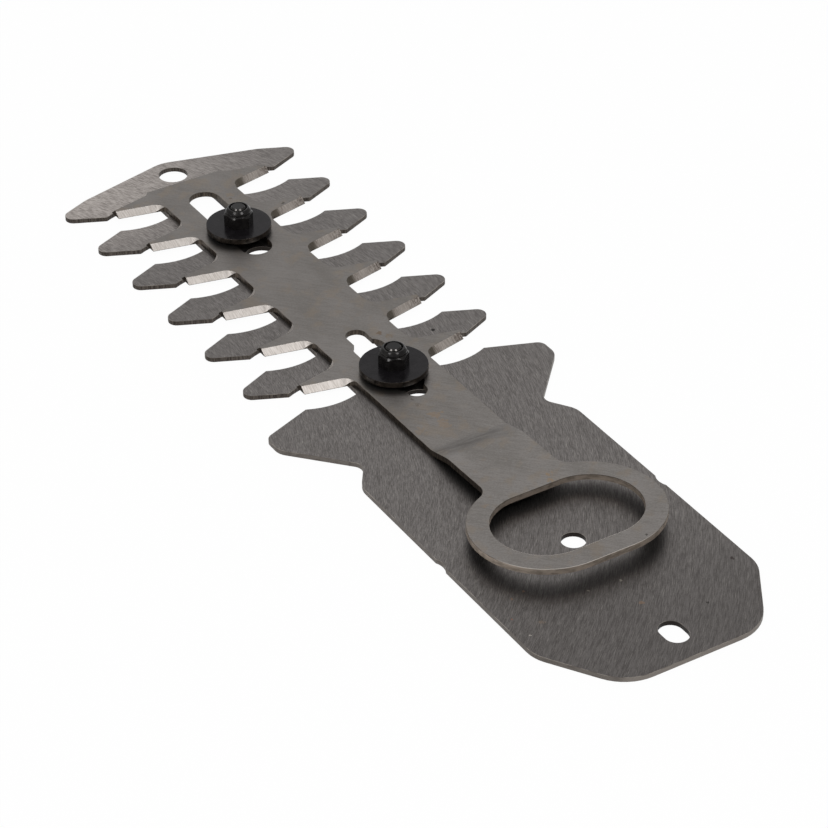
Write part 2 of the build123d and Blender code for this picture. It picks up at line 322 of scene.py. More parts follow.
@dataclass(frozen=True)
class PlateFinish:
    """Spring steel with short hairlines that run in wide arcs, with a painted shade that darkens the rear and
    a painted sheen that brightens the tip.
    """

    dark: Colour = srgb(86, 82, 80)
    light: Colour = srgb(118, 114, 112)
    # The rear colour is a painted shade; the two tip colours are a painted sheen.
    rear: Colour = srgb(60, 57, 56)
    tip: Colour = srgb(142, 134, 129)
    tip_light: Colour = srgb(208, 200, 194)
    bright: Colour = srgb(160, 156, 150)
    speck: Colour = srgb(52, 48, 45)
    arc_centre: tuple[float, float] = (-166.5 * MM, 121.4 * MM)
    arc_reach: float = 210.0 * MM
    hair: Size = (2.2 * MM, 0.14 * MM, 2.0 * MM)
    streak: Size = (2.6 * MM, 0.13 * MM, 2.0 * MM)
    band: Size = (6.0 * MM, 1.0 * MM, 4.0 * MM)
    dust: float = 0.28 * MM
    speck_size: float = 0.9 * MM
    streak_turn: float = 3.0
    hair_share: float = 0.65
    band_share: float = 0.15
    dust_share: float = 0.2
    grain_range: Ramp = Ramp(0.33, 0.67)
    tip_range: Ramp = Ramp(0.32, 0.68)
    streak_range: Ramp = Ramp(0.60, 0.76, 0.0, 0.5)
    speck_range: Ramp = Ramp(0.80, 0.86, 0.0, 0.5)
    rear_zone: Ramp = Ramp(0.020, -0.045, 0.0, 0.35)
    tip_zone: Ramp = Ramp(0.150, 0.207)
    tip_across: Ramp = Ramp(0.042, -0.034, 0.08, 0.72)
    roughness: float = 0.42
    rough_swing: float = 0.04
    relief: float = 0.004 * MM
    marks: tuple[Mark, ...] = (
        Mark(0.6, -18.1, 0.42, srgb(176, 170, 160)), Mark(-7.8, -17.5, 0.38, srgb(168, 160, 150)),
        Mark(-0.1, -27.1, 0.75, srgb(128, 106, 88), 0.6), Mark(-27.6, -23.7, 0.36, srgb(180, 174, 166)),
        Mark(12.5, -35.0, 0.36, srgb(45, 42, 40)), Mark(-20.2, -9.8, 0.36, srgb(140, 116, 98)),
        Mark(-23.9, -10.8, 0.42, srgb(140, 112, 92)), Mark(-23.1, -21.3, 0.9, srgb(128, 112, 98), 0.45),
        Mark(26.8, -24.8, 0.5, srgb(48, 40, 38)), Mark(-27.8, -16.8, 0.35, srgb(136, 98, 84)),
        Mark(19.4, 92.5, 0.7, srgb(30, 27, 26), 1.0, 0.1),
    )

    def material(self) -> bpy.types.Material:
        """Make the finish."""
        graph = Graph("brushed_plate_steel")
        arcs = graph.polar(self.arc_centre, self.arc_reach)
        hair = graph.noise(self.hair, place=arcs)
        streak = graph.noise(self.streak, self.streak_turn, 1.0, arcs)
        band = graph.noise(self.band, place=arcs)
        dust = graph.noise(self.dust, detail=1.0)
        grain = graph.mixture((hair, self.hair_share), (band, self.band_share), (dust, self.dust_share))
        tone = graph.blend(graph.spread(grain, self.grain_range), self.dark, self.light)
        tone = graph.blend(graph.spread(streak, self.streak_range), tone, self.bright)
        ahead, side = graph.axis("Y"), graph.axis("X")
        # Painted shade: towards the rear the colour is darkened.
        tone = graph.blend(graph.spread(ahead, self.rear_zone), tone, self.rear)
        # Painted sheen: the tip is lightened, with a grain of its own, more strongly towards -X.
        tip = graph.blend(graph.spread(hair, self.tip_range), self.tip, self.tip_light)
        lit = graph.product(graph.spread(ahead, self.tip_zone), graph.spread(side, self.tip_across))
        tone = graph.blend(lit, tone, tip)
        specks = graph.spread(graph.noise(self.speck_size, detail=1.0), self.speck_range)
        tone = graph.marked(graph.blend(specks, tone, self.speck), self.marks)
        rough = Ramp(0.3, 0.7, self.roughness + self.rough_swing, self.roughness - self.rough_swing)
        graph.raise_by(grain, self.relief)
        return graph.set(Base_Color=tone, Metallic=1.0, Roughness=graph.spread(grain, rough))


@dataclass(frozen=True)
class BladeFinish:
    """Warm grey spring steel, smooth with a faint grain, a few dark pits, tan stains and a painted shade
    across the bend.
    """

    dark: Colour = srgb(108, 104, 100)
    light: Colour = srgb(124, 120, 117)
    front: Colour = srgb(96, 92, 89)
    warm: Colour = srgb(124, 112, 98)
    # A painted shade across the joggle's bend, broken up by noise:
    painted_bend_shade: Colour = srgb(72, 68, 65)
    pit: Colour = srgb(55, 50, 46)
    grain: Size = (0.5 * MM, 0.35 * MM, 0.4 * MM)
    hair: Size = (3.5 * MM, 0.25 * MM, 2.0 * MM)
    cloud: Size = (9.0 * MM, 14.0 * MM, 9.0 * MM)
    rust: Size = (5.0 * MM, 4.0 * MM, 5.0 * MM)
    bend_breakup: Size = (6.0 * MM, 1.2 * MM, 3.0 * MM)
    pit_size: float = 0.8 * MM
    grain_turn: float = 12.0
    hair_turn: float = 132.0
    rust_turn: float = 40.0
    grain_share: float = 0.35
    cloud_share: float = 0.3
    hair_share: float = 0.35
    tone_range: Ramp = Ramp(0.38, 0.62)
    rust_range: Ramp = Ramp(0.50, 0.68, 0.0, 0.4)
    bend_breakup_range: Ramp = Ramp(0.38, 0.62, 0.25, 1.0)
    pit_range: Ramp = Ramp(0.82, 0.86, 0.0, 0.6)
    front_zone: Ramp = Ramp(0.0, 0.16, 0.0, 0.32)
    bend_rear: Ramp = Ramp(0.0398, 0.0428)
    bend_front: Ramp = Ramp(0.0475, 0.0440)
    bend_across: Ramp = Ramp(0.011, 0.004, 0.1, 0.55)
    roughness: float = 0.40
    rough_swing: float = 0.03
    relief: float = 0.003 * MM
    marks: tuple[Mark, ...] = (
        Mark(6.5, 20.0, 0.9, srgb(132, 112, 88), 0.65), Mark(5.2, 17.6, 0.8, srgb(132, 112, 88), 0.7),
        Mark(3.9, 15.2, 0.8, srgb(130, 110, 88), 0.6), Mark(2.0, 13.0, 0.8, srgb(132, 112, 88), 0.45),
        Mark(9.5, 11.9, 1.2, srgb(136, 112, 86), 0.7), Mark(-10.0, 13.6, 1.3, srgb(134, 110, 86), 0.6),
        Mark(-12.1, 29.3, 1.2, srgb(134, 114, 92), 0.5), Mark(-5.9, 15.3, 0.35, srgb(50, 45, 42)),
        Mark(11.3, -12.9, 0.42, srgb(46, 41, 38)), Mark(-13.0, 17.5, 1.0, srgb(130, 110, 88), 0.4),
        Mark(-0.6, 57.3, 2.0, srgb(132, 112, 90), 0.45, 0.9),
        Mark(-1.2, 53.6, 1.8, srgb(132, 112, 90), 0.4, 0.9),
        Mark(-8.2, 54.1, 1.6, srgb(132, 114, 94), 0.35, 0.9), Mark(-2.7, 66.7, 0.5, srgb(84, 78, 73), 0.7),
        Mark(-2.7, 63.9, 0.7, srgb(92, 86, 80), 0.6),
        Mark(6.0, 96.5, 0.8, srgb(98, 82, 66), 0.75), Mark(7.2, 94.1, 1.0, srgb(110, 96, 80), 0.6),
        Mark(6.9, 177.4, 1.2, srgb(120, 106, 90), 0.5), Mark(6.1, 175.6, 0.5, srgb(88, 74, 60), 0.7),
        Mark(17.0, 166.0, 0.55, srgb(60, 54, 48)), Mark(12.3, 43.0, 0.7, srgb(44, 40, 37)),
    )

    def material(self) -> bpy.types.Material:
        """Make the finish."""
        graph = Graph("sliding_blade_steel")
        grain = graph.noise(self.grain, self.grain_turn, 3.0)
        cloud = graph.noise(self.cloud)
        hair = graph.noise(self.hair, self.hair_turn)
        tone = graph.mixture((grain, self.grain_share), (cloud, self.cloud_share), (hair, self.hair_share))
        colour = graph.blend(graph.spread(tone, self.tone_range), self.dark, self.light)
        ahead, side = graph.axis("Y"), graph.axis("X")
        colour = graph.blend(graph.spread(ahead, self.front_zone), colour, self.front)
        rusty = graph.noise(self.rust, self.rust_turn, 4.0)
        colour = graph.blend(graph.spread(rusty, self.rust_range), colour, self.warm)
        # Painted shade: a band across the joggle's bend, broken up by noise and stronger towards -X.
        bend = graph.product(
            graph.spread(ahead, self.bend_rear), graph.spread(ahead, self.bend_front),
            graph.spread(graph.noise(self.bend_breakup, detail=3.0), self.bend_breakup_range),
            graph.spread(side, self.bend_across),
        )
        colour = graph.blend(bend, colour, self.painted_bend_shade)
        pits = graph.spread(graph.noise(self.pit_size, detail=1.0), self.pit_range)
        colour = graph.marked(graph.blend(pits, colour, self.pit), self.marks)
        rough = Ramp(0.3, 0.7, self.roughness + self.rough_swing, self.roughness - self.rough_swing)
        graph.raise_by(grain, self.relief)
        return graph.set(Base_Color=colour, Metallic=1.0, Roughness=graph.spread(tone, rough))


@dataclass(frozen=True)
class ShearedFinish:
    """The sheared wall of a stamped sheet: dark, brownish, streaked through the thickness.

    Behind a given Y it is lightened in patches by a painted light. Within inner of the long axis, between the
    two inner ramps, it is darkened by a painted shade, as in the holes.
    """

    name: str
    dark: Colour
    light: Colour
    # Below: a lighter colour behind a given Y, which is a painted light, and a darker colour near the long
    # axis, which is a painted shade in the holes.
    painted_light: Colour
    painted_light_y: float
    inner: float = 0.0
    painted_hole_shade: Colour = srgb(38, 33, 30)
    streak: Size = (0.35 * MM, 0.35 * MM, 4.0 * MM)
    streak_turn: float = 20.0
    patch: Size = (2.5 * MM, 2.5 * MM, 1.0 * MM)
    streak_range: Ramp = Ramp(0.32, 0.68)
    light_patch_range: Ramp = Ramp(0.35, 0.6, 0.6, 1.0)
    painted_light_fade: float = 4.0 * MM
    inner_rear: Ramp = Ramp(-0.0470, -0.0455)
    inner_front: Ramp = Ramp(0.19, 0.17)
    metal: float = 0.7
    roughness: float = 0.5
    shine: float = 0.3
    relief: float = 0.01 * MM
    marks: tuple[Mark, ...] = ()

    def material(self) -> bpy.types.Material:
        """Make the finish."""
        graph = Graph(self.name)
        streak = graph.noise(self.streak, self.streak_turn, 3.0)
        colour = graph.blend(graph.spread(streak, self.streak_range), self.dark, self.light)
        ahead = graph.axis("Y")
        # Painted light: behind the given Y the wall is lightened in noisy patches.
        light_patches = graph.spread(graph.noise(self.patch, detail=3.0), self.light_patch_range)
        behind = graph.spread(ahead, Ramp(self.painted_light_y + self.painted_light_fade, self.painted_light_y - self.painted_light_fade))
        colour = graph.blend(graph.product(light_patches, behind), colour, self.painted_light)
        colour = graph.marked(colour, self.marks)
        # Painted shade: near the long axis, where the holes are, the wall is darkened.
        if self.inner:
            aside = graph.combine("ABSOLUTE", graph.axis("X"), 0.0)
            inside = graph.product(
                graph.spread(ahead, self.inner_rear), graph.spread(ahead, self.inner_front),
                graph.spread(aside, Ramp(self.inner, 0.8 * self.inner)),
            )
            colour = graph.blend(inside, colour, self.painted_hole_shade)
        graph.raise_by(streak, self.relief)
        return graph.set(
            Base_Color=colour, Metallic=self.metal, Roughness=self.roughness, Specular_IOR_Level=self.shine
        )


@dataclass(frozen=True)
class EdgeFinish:
    """The edge where a face turns into a wall: rubbed, and bright in broken stretches that are partly wear
    and partly a painted highlight.
    """

    name: str
    dull: Colour
    bright: Colour
    patch: float = 3.0 * MM
    patch_range: Ramp = Ramp(0.42, 0.62)
    roughness: float = 0.3
    marks: tuple[Mark, ...] = ()

    def material(self) -> bpy.types.Material:
        """Make the finish."""
        graph = Graph(self.name)
        # Wear and painted highlight: the bright colour in broken stretches.
        patch = graph.spread(graph.noise(self.patch, detail=4.0), self.patch_range)
        colour = graph.marked(graph.blend(patch, self.dull, self.bright), self.marks)
        return graph.set(Base_Color=colour, Metallic=1.0, Roughness=self.roughness)


@dataclass(frozen=True)
class GroundFinish:
    """A freshly ground bevel, finely striped across its edge.

    On the right-hand teeth it is darker and browner as a painted shade, scorched in blots towards the points,
    pale in a patch near the root, and dark at the root.
    """

    dark: Colour = srgb(172, 165, 159)
    light: Colour = srgb(200, 194, 189)
    right_shade: Colour = srgb(138, 129, 122)
    pale: Colour = srgb(190, 182, 175)
    scorch: Colour = srgb(84, 73, 66)
    root: Colour = srgb(82, 76, 66)
    stripe: Size = (0.16 * MM, 2.4 * MM, 2.4 * MM)
    coarse: Size = (0.24 * MM, 2.0 * MM, 2.0 * MM)
    blot: Size = (0.4 * MM, 0.5 * MM, 0.5 * MM)
    turn: float = 8.0
    stripe_range: Ramp = Ramp(0.3, 0.66)
    right_shade_range: Ramp = Ramp(0.34, 0.68)
    blot_range: Ramp = Ramp(0.42, 0.60)
    scorch_zone: Ramp = Ramp(0.017, 0.026, 0.1, 0.95)
    patch_inner: Ramp = Ramp(0.0150, 0.0172)
    patch_outer: Ramp = Ramp(0.0225, 0.0180)
    patch_share: float = 0.45
    root_zone: Ramp = Ramp(0.0152, 0.0136, 0.0, 0.85)
    right_zone: Ramp = Ramp(-0.002, 0.002)
    roughness: float = 0.5
    relief: float = 0.005 * MM

    def material(self) -> bpy.types.Material:
        """Make the finish."""
        graph = Graph("ground_bevel_steel")
        stripe = graph.noise(self.stripe, self.turn)
        colour = graph.blend(graph.spread(stripe, self.stripe_range), self.dark, self.light)
        side = graph.axis("X")
        coarse = graph.noise(self.coarse, self.turn, 4.0)
        # Painted shade: the right-hand bevels take a darker, browner tone.
        right_side_tone = graph.blend(graph.spread(coarse, self.right_shade_range), self.right_shade, self.pale)
        blots = graph.spread(graph.noise(self.blot, self.turn, 4.0), self.blot_range)
        scorched = graph.product(blots, graph.spread(side, self.scorch_zone))
        right_side_tone = graph.blend(scorched, right_side_tone, self.scorch)
        patch = graph.product(
            graph.spread(side, self.patch_inner), graph.spread(side, self.patch_outer), self.patch_share
        )
        right_side_tone = graph.blend(patch, right_side_tone, self.pale)
        right = graph.spread(side, self.right_zone)
        colour = graph.blend(right, colour, right_side_tone)
        root = graph.product(graph.spread(side, self.root_zone), right)
        colour = graph.blend(root, colour, self.root)
        graph.raise_by(stripe, self.relief)
        return graph.set(Base_Color=colour, Metallic=1.0, Roughness=self.roughness)


@dataclass(frozen=True)
class BlackFinish:
    """Oiled black oxide, a little hazy."""

    name: str
    base: Colour
    haze: Colour
    roughness: float
    metal: float = 0.3
    shine: float = 0.08
    haze_size: float = 1.4 * MM
    fine_size: float = 0.25 * MM
    haze_range: Ramp = Ramp(0.35, 0.7)
    smoother: float = 0.04
    rougher: float = 0.05
    relief: float = 0.004 * MM

    def material(self) -> bpy.types.Material:
        """Make the finish."""
        graph = Graph(self.name)
        haze = graph.noise(self.haze_size, detail=4.0)
        fine = graph.noise(self.fine_size)
        colour = graph.blend(graph.spread(haze, self.haze_range), self.base, self.haze)
        rough = Ramp(0.3, 0.7, self.roughness - self.smoother, self.roughness + self.rougher)
        graph.raise_by(fine, self.relief)
        return graph.set(
            Base_Color=colour, Metallic=self.metal, Roughness=graph.spread(haze, rough),
            Specular_IOR_Level=self.shine,
        )


@dataclass(frozen=True)
class TurnedFinish:
    """Turned steel with fine rings round its axis, dull above a height where it was sawn off."""

    name: str
    dark: Colour
    light: Colour
    roughness: float
    sawn_z: float = 1.0
    sawn: Colour = srgb(35, 34, 34)
    sawn_fade: float = 0.02 * MM
    ring: Size = (4.0 * MM, 4.0 * MM, 0.12 * MM)
    fine_size: float = 0.3 * MM
    ring_share: float = 0.5
    fine_share: float = 0.5
    tone_range: Ramp = Ramp(0.35, 0.65)
    relief: float = 0.004 * MM

    def material(self) -> bpy.types.Material:
        """Make the finish."""
        graph = Graph(self.name)
        ring = graph.noise(self.ring)
        fine = graph.noise(self.fine_size, detail=3.0)
        mixed = graph.mixture((ring, self.ring_share), (fine, self.fine_share))
        colour = graph.blend(graph.spread(mixed, self.tone_range), self.dark, self.light)
        above = graph.spread(graph.axis("Z"), Ramp(self.sawn_z - self.sawn_fade, self.sawn_z))
        colour = graph.blend(above, colour, self.sawn)
        graph.raise_by(mixed, self.relief)
        return graph.set(Base_Color=colour, Metallic=1.0, Roughness=self.roughness)


@dataclass(frozen=True)
class NylonFinish:
    """The dark nylon of a locking ring."""

    dark: Colour = srgb(14, 14, 15)
    light: Colour = srgb(26, 26, 27)
    mottle_size: float = 0.4 * MM
    mottle_range: Ramp = Ramp(0.35, 0.65)
    roughness: float = 0.45
    relief: float = 0.01 * MM

    def material(self) -> bpy.types.Material:
        """Make the finish."""
        graph = Graph("locking_ring_nylon")
        mottle = graph.noise(self.mottle_size, detail=3.0)
        colour = graph.blend(graph.spread(mottle, self.mottle_range), self.dark, self.light)
        graph.raise_by(mottle, self.relief)
        return graph.set(Base_Color=colour, Metallic=0.0, Roughness=self.roughness)


def make_object(
    name: str, mesh: bpy.types.Mesh, finishes: Sequence[bpy.types.Material], body: Body,
    nodes: Sequence[str],
) -> bpy.types.Object:
    """Show a mesh as a piece that stands for nodes of the frame.

    Args:
        name: the piece's name.
        mesh: its mesh, already in place.
        finishes: its materials, in the order of its material slots.
        body: the body it rides on.
        nodes: the frame's nodes that it stands for.

    Returns:
        The new object.
    """
    piece = bpy.data.objects.new(name, mesh)
    bpy.context.scene.collection.objects.link(piece)
    for finish in finishes:
        mesh.materials.append(finish)
    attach(piece, body.value)
    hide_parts(*nodes)
    weights = piece.modifiers.new("even_normals", "WEIGHTED_NORMAL")
    weights.keep_sharp = True
    weights.weight = NORMAL_WEIGHT
    return piece


@dataclass
class StampedSheet:
    """A blade or plate: the frame's solid, with its upper edges eased.

    The rounding follows the edge between the upper face and a sheared wall. The lower edges and the
    ground bevels stay crisp.
    """

    node: str
    name: str
    body: Body
    slot: Slot
    finishes: tuple[bpy.types.Material, ...]
    ease: float = 0.08 * MM
    segments: int = 2
    flat: float = 0.9
    upright: float = 0.12
    crease: float = 35.0
    level_within: float = 0.2

    def area(self, face: bmesh.types.BMFace) -> Area:
        """Tell what kind of surface a face is from the tilt of its normal."""
        lean = face.normal.z
        if lean > self.flat:
            return Area.TOP
        if lean < -self.flat:
            return Area.UNDERSIDE
        return Area.WALL if abs(lean) < self.upright else Area.GROUND

    def mesh(self) -> bpy.types.Mesh:
        """Copy the solid, merge its loose triangles, and round the edges between top and walls."""
        shape = bmesh.new()
        shape.from_mesh(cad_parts[self.node].data)
        bmesh.ops.remove_doubles(shape, verts=shape.verts, dist=MERGE)
        bmesh.ops.dissolve_limit(
            shape, angle_limit=math.radians(self.level_within), verts=shape.verts, edges=shape.edges,
            delimit=set(),
        )
        shape.normal_update()
        for face in shape.faces:
            face.material_index = self.area(face).value
        rim = {Area.TOP.value, Area.WALL.value}
        rims = [edge for edge in shape.edges if {face.material_index for face in edge.link_faces} == rim]
        made = bmesh.ops.bevel(
            shape, geom=rims, offset=self.ease, offset_type="OFFSET", segments=self.segments,
            profile=0.5, affect="EDGES", clamp_overlap=False, material=-1,
        )
        for face in made["faces"]:
            face.material_index = Area.EDGE.value
        shape.normal_update()
        for face in shape.faces:
            face.smooth = True
        for edge in shape.edges:
            edge.smooth = edge.is_manifold and edge.calc_face_angle(0.0) < math.radians(self.crease)
        mesh = bpy.data.meshes.new(self.name)
        shape.to_mesh(mesh)
        shape.free()
        return mesh

    def build(self) -> bpy.types.Object:
        """Make the sheet and dress it."""
        return make_object(self.name, self.mesh(), self.finishes, self.body, [self.node])


def rounded_rows(
    corners: Sequence[tuple[object, object]], reach: Sequence[float], turns: int
) -> np.ndarray:
    """Work out the rows of a spun profile with rounded corners.

    A corner P becomes a quadratic curve: (1 - t) squared times A, plus 2 t (1 - t) times P, plus t squared
    times C, where A and C lie on the two legs at the corner's reach from P. A corner may stand at another
    radius and height in each direction.

    Args:
        corners: the radius and height of each corner, each a number or an array over the directions.
        reach: how far the rounding of each corner runs along its legs. 0 keeps the corner.
        turns: the number of directions round the axis.

    Returns:
        An array (rows, directions, 2) of radius and height. The last row joins the first.
    """
    points = np.stack([
        np.stack([np.broadcast_to(np.asarray(value, float), (turns,)) for value in corner], axis=-1)
        for corner in corners
    ])
    back = np.roll(points, 1, axis=0) - points
    ahead = np.roll(points, -1, axis=0) - points
    rows = []
    steps = np.linspace(0.0, 1.0, CORNER_STEPS)
    for point, before, after, size in zip(points, back, ahead, reach):
        if not size:
            rows.append(point)
            continue
        first = point + before * (size / np.linalg.norm(before, axis=-1, keepdims=True))
        last = point + after * (size / np.linalg.norm(after, axis=-1, keepdims=True))
        rows += [(1 - t) ** 2 * first + 2 * t * (1 - t) * point + t * t * last for t in steps]
    return np.stack(rows)


def spun_mesh(name: str, rows: np.ndarray, centre: Vector, closed: bool) -> bpy.types.Mesh:
    """Carry a profile round a vertical axis.

    The point of row i in direction a is (r cos a, r sin a, z), moved to the centre. Rows of no radius
    merge into a pole.

    Args:
        name: the mesh's name.
        rows: an array (rows, directions, 2) of radius and height.
        centre: where the axis meets height 0.
        closed: whether the last row joins the first.

    Returns:
        The mesh, with its faces turned outwards.
    """
    count, turns = rows.shape[:2]
    angle = np.arange(turns) * (2 * math.pi / turns)
    points = np.stack(
        [rows[..., 0] * np.cos(angle), rows[..., 0] * np.sin(angle), rows[..., 1]], axis=-1
    ) + np.array(centre)
    row, column = np.meshgrid(np.arange(count if closed else count - 1), np.arange(turns), indexing="ij")
    below, beside = (row + 1) % count, (column + 1) % turns
    quads = np.stack(
        [row * turns + column, row * turns + beside, below * turns + beside, below * turns + column], axis=-1
    )
    mesh = bpy.data.meshes.new(name)
    mesh.from_pydata(points.reshape(-1, 3).tolist(), [], quads.reshape(-1, 4).tolist())
    shape = bmesh.new()
    shape.from_mesh(mesh)
    bmesh.ops.remove_doubles(shape, verts=shape.verts, dist=MERGE)
    bmesh.ops.recalc_face_normals(shape, faces=shape.faces)
    for face in shape.faces:
        face.smooth = True
    for edge in shape.edges:
        edge.smooth = edge.calc_face_angle(0.0) < math.radians(SPUN_CREASE)
    shape.to_mesh(mesh)
    shape.free()
    return mesh


@dataclass
class GuideBolt:
    """One guide bolt: a stud, a thick washer, a lock nut and its ring. The bush stays the frame's own."""

    place: str
    nut_turn: float
    turns: int = 144
    across_flats: float = 7.0 * MM
    corner_break: float = 0.12 * MM
    hex_height: float = 3.5 * MM
    hex_edge: float = 3.42 * MM
    cone: float = 42.0
    waist: float = 3.22 * MM
    collar: float = 3.4 * MM
    collar_start: float = 3.78 * MM
    collar_end: float = 4.2 * MM
    collar_top: float = 2.74 * MM
    mouth: float = 2.42 * MM
    bore: float = 2.05 * MM
    seat: float = 2.72 * MM
    seat_low: float = 3.1 * MM
    seat_high: float = 4.2 * MM
    washer_ease: float = 0.12 * MM
    rim_lean: float = 0.9
    pitch: float = 0.7 * MM
    thread_depth: float = 0.38 * MM
    end_radius: float = 1.66 * MM
    end_length: float = 0.34 * MM
    thread_steps: int = 14
    thread_flank: float = 1.25
    thread_flat: float = 0.12
    head_height: float = 0.9 * MM
    clearance: float = 0.05 * MM
    ring_gap: float = 0.02 * MM
    nut_ease_mm: tuple[float, ...] = (0.0, 0.08, 0.08, 0.05, 0.05, 0.1, 0.2, 0.2, 0.1, 0.0, 0.0, 0.0, 0.0)
    ring_ease_mm: tuple[float, ...] = (0.0, 0.05, 0.05, 0.15)

    def __post_init__(self) -> None:
        """Read the bolt's axis and heights from the frame."""
        low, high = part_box(f"{self.place}_stud")
        self.axis = Vector(((low.x + high.x) / 2, (low.y + high.y) / 2, 0.0))
        self.stud_top = high.z
        self.head_radius = (high.x - low.x) / 2
        low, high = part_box(f"{self.place}_washer")
        self.washer_low = low.z
        self.washer_high = high.z
        self.washer_radius = (high.x - low.x) / 2
        low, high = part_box(f"{self.place}_nut")
        self.nut_height = high.z - low.z
        low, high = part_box(f"{self.place}_bush")
        self.bush_low = low.z

    def hexagon(self) -> np.ndarray:
        """The nut's radius in each direction: half the flats over the cosine from the nearest flat."""
        angle = np.arange(self.turns) * (2 * math.pi / self.turns) - math.radians(self.nut_turn)
        from_flat = np.mod(angle, math.pi / 3) - math.pi / 6
        radius = self.across_flats / 2 / np.cos(from_flat)
        return np.minimum(radius, self.across_flats / 2 / math.cos(math.pi / 6) - self.corner_break)

    def nut(self, finish: bpy.types.Material) -> bpy.types.Object:
        """Make the nut: a hexagon with a coned top, a narrow waist and a round crimped collar."""
        side = self.hexagon()
        shoulder = self.hex_height - (side - self.hex_edge) * math.tan(math.radians(self.cone))
        corners = [
            (self.bore, 0.0), (side, 0.0), (side, shoulder), (self.hex_edge, self.hex_height),
            (self.waist, (self.hex_height + self.collar_start) / 2), (self.collar, self.collar_start),
            (self.collar, self.collar_end), (self.collar_top, self.nut_height), (self.mouth, self.nut_height),
            (self.mouth, self.seat_high), (self.seat, self.seat_high), (self.seat, self.seat_low),
            (self.bore, self.seat_low),
        ]
        rows = rounded_rows(corners, [size * MM for size in self.nut_ease_mm], self.turns)
        mesh = spun_mesh(f"{self.place}_lock_nut", rows, self.axis + Vector((0, 0, self.washer_high)), True)
        return make_object(mesh.name, mesh, [finish], Body.PLATE, [f"{self.place}_nut"])

    def washer(self, finish: bpy.types.Material, rim: bpy.types.Material) -> bpy.types.Object:
        """Make the washer: a flat ring with eased edges and a browner rim."""
        bore = self.bore + self.clearance
        corners = [
            (bore, self.washer_low), (self.washer_radius, self.washer_low),
            (self.washer_radius, self.washer_high), (bore, self.washer_high),
        ]
        rows = rounded_rows(corners, [0.0, self.washer_ease, self.washer_ease, 0.0], self.turns)
        mesh = spun_mesh(f"{self.place}_guide_washer", rows, self.axis, True)
        for face in mesh.polygons:
            face.material_index = int(abs(face.normal.z) < self.rim_lean)
        return make_object(
            mesh.name, mesh, [finish, rim], Body.PLATE, [f"{self.place}_washer"]
        )

    def stud(self, finish: bpy.types.Material) -> bpy.types.Object:
        """Make the stud: a countersunk head, a plain shank in the bush, and a thread with a coned end.

        The thread's radius is the crest less its depth times a triangle wave of (z / pitch - a / 2 pi),
        and never more than the cone of the end.
        """
        crest = self.bore - self.clearance
        angle = np.arange(self.turns) / self.turns
        height = np.arange(self.washer_low, self.stud_top, self.pitch / self.thread_steps)
        phase = np.mod(height[:, None] / self.pitch - angle[None, :], 1.0)
        wave = self.thread_flank * (1 - np.abs(2 * phase - 1)) - self.thread_flat
        groove = self.thread_depth * np.clip(wave, 0.0, 1.0)
        fade = np.minimum(height - self.washer_low, self.stud_top - self.end_length - height) / self.pitch
        fade = np.clip(fade, 0.0, 1.0)[:, None]
        cone = self.end_radius + (self.stud_top - height)[:, None]
        radius = np.minimum(crest - groove * fade, cone)
        thread = np.stack([radius, np.broadcast_to(height[:, None], radius.shape)], axis=-1)
        plain = [(0.0, 0.0), (self.head_radius, 0.0), (crest, self.head_height), (crest, self.bush_low)]
        end = [(self.end_radius, self.stud_top), (0.0, self.stud_top)]
        start_rows = np.stack([np.tile(np.array(pair), (self.turns, 1)) for pair in plain])
        end_rows = np.stack([np.tile(np.array(pair), (self.turns, 1)) for pair in end])
        rows = np.concatenate([start_rows, thread, end_rows])
        mesh = spun_mesh(f"{self.place}_threaded_stud", rows, self.axis, False)
        return make_object(mesh.name, mesh, [finish], Body.PLATE, [f"{self.place}_stud"])

    def ring(self, finish: bpy.types.Material) -> bpy.types.Object:
        """Make the locking ring inside the collar."""
        low, high = self.washer_high + self.seat_low, self.washer_high + self.seat_high
        outer, inner = self.seat - self.ring_gap, self.bore
        corners = [(inner, low), (outer, low), (outer, high), (inner, high)]
        rows = rounded_rows(corners, [size * MM for size in self.ring_ease_mm], self.turns)
        mesh = spun_mesh(f"{self.place}_nylon_ring", rows, self.axis, True)
        return make_object(
            mesh.name, mesh, [finish], Body.PLATE, [f"{self.place}_locking_ring"]
        )

    def bush(self, finish: bpy.types.Material) -> bpy.types.Object:
        """Dress the frame's own bush."""
        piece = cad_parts[f"{self.place}_bush"]
        for slot in piece.material_slots:
            slot.material = finish
        return piece

    def build(
        self, finishes: dict[Slot, bpy.types.Material], nut_finish: bpy.types.Material,
        rim_finish: bpy.types.Material,
    ) -> list[bpy.types.Object]:
        """Make the whole bolt.

        Args:
            finishes: the material of each slot.
            nut_finish: the glossier black of the nut.
            rim_finish: the browner black of the washer's rim.

        Returns:
            The bolt's pieces.
        """
        return [
            self.stud(finishes[Slot.BOLT_STEEL]),
            self.bush(finishes[Slot.BUSH_STEEL]),
            self.washer(finishes[Slot.BLACK_OXIDE], rim_finish),
            self.nut(nut_finish),
            self.ring(finishes[Slot.RING_PLASTIC]),
        ]


@dataclass(frozen=True)
class Softbox:
    """A large soft lamp that looks at a point of the object."""

    name: str
    azimuth: float
    elevation: float
    width: float
    height: float
    radiance: float
    distance: float = 1.1
    aim: tuple[float, float, float] = (0.0, 0.09, 0.0)

    def build(self) -> bpy.types.Object:
        """Place the lamp. Its power is its radiance times its area times pi."""
        lamp = bpy.data.lights.new(self.name, "AREA")
        lamp.shape = "RECTANGLE"
        lamp.size = self.width
        lamp.size_y = self.height
        lamp.energy = self.radiance * self.width * self.height * math.pi
        around, up = math.radians(self.azimuth), math.radians(self.elevation)
        way = Vector((math.sin(around) * math.cos(up), math.cos(around) * math.cos(up), math.sin(up)))
        piece = bpy.data.objects.new(self.name, lamp)
        piece.location = Vector(self.aim) + self.distance * way
        piece.rotation_mode = "QUATERNION"
        piece.rotation_quaternion = way.to_track_quat("Z", "Y")
        bpy.context.scene.collection.objects.link(piece)
        return piece


